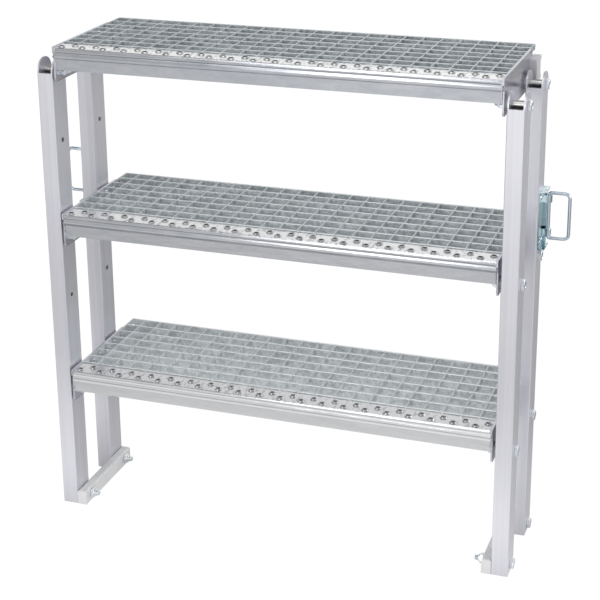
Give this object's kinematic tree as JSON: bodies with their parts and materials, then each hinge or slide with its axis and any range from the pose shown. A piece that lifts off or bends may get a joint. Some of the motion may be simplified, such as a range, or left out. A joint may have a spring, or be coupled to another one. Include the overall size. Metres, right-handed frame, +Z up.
{
  "type": "mounting block",
  "caption": "Tall mounting block of galvanised grating treads pivoted between leaning aluminium box rails, with foot bars and fold-out carrying handles.",
  "frame": {"origin": "on the floor, midway between the two sides and midway between the treads' nosings and rear bars", "axes": "+X to the right seen from the front, +Y from the nosings to the back, +Z up"},
  "size_m": [0.9776, 0.27, 0.905],
  "materials": {
    "rail_aluminium": "satin extrusion",
    "galvanised_grating": "hot-dip galvanised",
    "galvanised_nosing": "hot-dip galvanised, bright",
    "galvanised_plate": "hot-dip galvanised",
    "zinc_fasteners": "bright zinc plate",
    "sleeve_steel": "plain",
    "handle_zinc": "bright zinc plate",
    "bail_wire": "bright plated wire",
    "foot_plastic": "smooth, milky",
    "spacer_nylon": "natural",
    "stop_plastic": "smooth"
  },
  "bodies": {
    "base": {"foot_bar_left": "foot_plastic", "foot_bar_right": "foot_plastic", "foot_bolts": "zinc_fasteners", "foot_nuts": "zinc_fasteners"},
    "front_rails": {"front_rail_left": "rail_aluminium", "front_rail_right": "rail_aluminium", "front_rail_sleeves": "sleeve_steel"},
    "rear_rails": {"rear_rail_left": "rail_aluminium", "rear_rail_right": "rail_aluminium", "rear_rail_sleeves": "sleeve_steel", "handle_bracket_left": "handle_zinc", "handle_bracket_right": "handle_zinc", "handle_rivets": "handle_zinc"},
    "lower_tread": {"lower_bearing_bars": "galvanised_grating", "lower_cross_bars": "galvanised_grating", "lower_rear_bar": "galvanised_grating", "lower_nosing": "galvanised_nosing", "lower_side_plate_left": "galvanised_plate", "lower_side_plate_right": "galvanised_plate", "lower_pivot_bolts": "zinc_fasteners", "lower_pivot_nuts": "zinc_fasteners", "lower_pivot_washers": "zinc_fasteners", "lower_pivot_spacers": "spacer_nylon"},
    "middle_tread": {"middle_bearing_bars": "galvanised_grating", "middle_cross_bars": "galvanised_grating", "middle_rear_bar": "galvanised_grating", "middle_nosing": "galvanised_nosing", "middle_side_plate_left": "galvanised_plate", "middle_side_plate_right": "galvanised_plate", "middle_pivot_bolts": "zinc_fasteners", "middle_pivot_nuts": "zinc_fasteners", "middle_pivot_washers": "zinc_fasteners", "middle_pivot_spacers": "spacer_nylon"},
    "upper_tread": {"upper_bearing_bars": "galvanised_grating", "upper_cross_bars": "galvanised_grating", "upper_rear_bar": "galvanised_grating", "upper_nosing": "galvanised_nosing", "upper_side_plate_left": "galvanised_plate", "upper_side_plate_right": "galvanised_plate", "upper_pivot_bolts": "zinc_fasteners", "upper_pivot_nuts": "zinc_fasteners", "upper_pivot_washers": "zinc_fasteners", "upper_pivot_spacers": "spacer_nylon", "stop_block_left": "stop_plastic", "stop_block_right": "stop_plastic"},
    "bail_left": {"handle_bail_left": "bail_wire"},
    "bail_right": {"handle_bail_right": "bail_wire"}
  },
  "joints": [
    {"name": "lean", "type": "hinge", "parent": "base", "child": "front_rails", "pos_m": [0, -0.105, 0.015], "axis": [-1, 0, 0], "range_deg": [0, 45]},
    {"name": "rear_lean", "type": "hinge", "parent": "base", "child": "rear_rails", "pos_m": [0, 0.045, 0.015], "axis": [-1, 0, 0], "range_deg": [0, 45]},
    {"name": "lower_tread_pivot", "type": "hinge", "parent": "front_rails", "child": "lower_tread", "pos_m": [0, -0.105, 0.237], "axis": [-1, 0, 0], "range_deg": [-45, 0]},
    {"name": "middle_tread_pivot", "type": "hinge", "parent": "front_rails", "child": "middle_tread", "pos_m": [0, -0.105, 0.547], "axis": [-1, 0, 0], "range_deg": [-45, 0]},
    {"name": "upper_tread_pivot", "type": "hinge", "parent": "front_rails", "child": "upper_tread", "pos_m": [0, -0.105, 0.857], "axis": [-1, 0, 0], "range_deg": [-45, 0]},
    {"name": "left_bail_swing", "type": "hinge", "parent": "rear_rails", "child": "bail_left", "pos_m": [-0.4495, 0.06, 0.618], "axis": [0, 0, 1], "range_deg": [0, 90]},
    {"name": "right_bail_swing", "type": "hinge", "parent": "rear_rails", "child": "bail_right", "pos_m": [0.4495, 0.06, 0.618], "axis": [0, 0, -1], "range_deg": [0, 90]}
  ],
  "couplings": [
    {"joint": "rear_lean", "follows": "lean", "ratio": 1},
    {"joint": "lower_tread_pivot", "follows": "lean", "ratio": -1},
    {"joint": "middle_tread_pivot", "follows": "lean", "ratio": -1},
    {"joint": "upper_tread_pivot", "follows": "lean", "ratio": -1}
  ]
}
